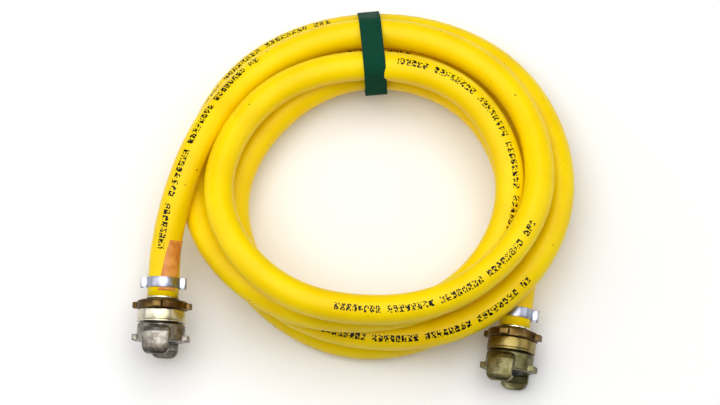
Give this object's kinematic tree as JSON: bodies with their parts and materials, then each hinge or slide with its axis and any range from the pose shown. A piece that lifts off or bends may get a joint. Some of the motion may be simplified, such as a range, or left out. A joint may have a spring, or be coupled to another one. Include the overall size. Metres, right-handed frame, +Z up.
{
  "type": "rolled hose with claw couplings",
  "caption": "Rolled flexible hose lying flat, held by a fabric tie, with a clamped swivelling claw coupling on each end.",
  "frame": {"origin": "on the ground under the middle of the bounding box", "axes": "+Z up, -Y towards the couplings, +X to the right when seen from the coupling side"},
  "size_m": [0.3974, 0.355, 0.1133],
  "materials": {
    "hose_pvc": "smooth glossy yellow PVC cover",
    "tie_fabric": "woven green hook-and-loop tape",
    "sticker_film": "plain orange film",
    "clamp_zinc": "bright zinc-plated steel strip",
    "stem_zinc": "turned zinc-plated steel",
    "ring_zinc": "yellow-passivated zinc on cast iron",
    "sleeve_zinc": "turned, yellow-passivated zinc",
    "head_zinc": "zinc-plated malleable casting",
    "rubber": "black nitrile rubber",
    "spring_steel": "spring steel wire"
  },
  "bodies": {
    "hose_body": {"hose": "hose_pvc", "tie_strap": "tie_fabric", "label_sticker": "sticker_film", "left_hose_clamp": "clamp_zinc", "left_hose_stem": "stem_zinc", "left_o_ring": "rubber", "right_hose_clamp": "clamp_zinc", "right_hose_stem": "stem_zinc", "right_o_ring": "rubber"},
    "left_head_body": {"left_claw_head": "head_zinc", "left_face_seal": "rubber", "left_thrust_washer": "stem_zinc", "left_snap_ring": "spring_steel"},
    "left_sleeve_body": {"left_lock_sleeve": "sleeve_zinc"},
    "left_ring_body": {"left_lock_ring": "ring_zinc"},
    "right_head_body": {"right_claw_head": "head_zinc", "right_face_seal": "rubber", "right_thrust_washer": "stem_zinc", "right_snap_ring": "spring_steel"},
    "right_sleeve_body": {"right_lock_sleeve": "sleeve_zinc"},
    "right_ring_body": {"right_lock_ring": "ring_zinc"}
  },
  "joints": [
    {"name": "left_swivel", "type": "hinge", "parent": "hose_body", "child": "left_head_body", "pos_m": [-0.1711, -0.0979, 0.0451], "axis": [-0.0435, -0.9966, -0.0698], "continuous": true},
    {"name": "left_sleeve_slide", "type": "slide", "parent": "left_head_body", "child": "left_sleeve_body", "axis": [-0.0435, -0.9966, -0.0698], "range_m": [0, 0.00066]},
    {"name": "left_ring_turn", "type": "hinge", "parent": "left_sleeve_body", "child": "left_ring_body", "pos_m": [-0.1711, -0.0979, 0.0451], "axis": [-0.0435, -0.9966, -0.0698], "range_deg": [0, 120]},
    {"name": "right_swivel", "type": "hinge", "parent": "hose_body", "child": "right_head_body", "pos_m": [0.1459, -0.1224, 0.0266], "axis": [-0.1478, -0.989, 0], "continuous": true},
    {"name": "right_sleeve_slide", "type": "slide", "parent": "right_head_body", "child": "right_sleeve_body", "axis": [-0.1478, -0.989, 0], "range_m": [0, 0.00066]},
    {"name": "right_ring_turn", "type": "hinge", "parent": "right_sleeve_body", "child": "right_ring_body", "pos_m": [0.1459, -0.1224, 0.0266], "axis": [-0.1478, -0.989, 0], "range_deg": [0, 120]}
  ],
  "couplings": [
    {"joint": "left_ring_turn", "follows": "left_sleeve_slide", "rad_per_m": 3141.6},
    {"joint": "right_ring_turn", "follows": "right_sleeve_slide", "rad_per_m": 3141.6}
  ]
}
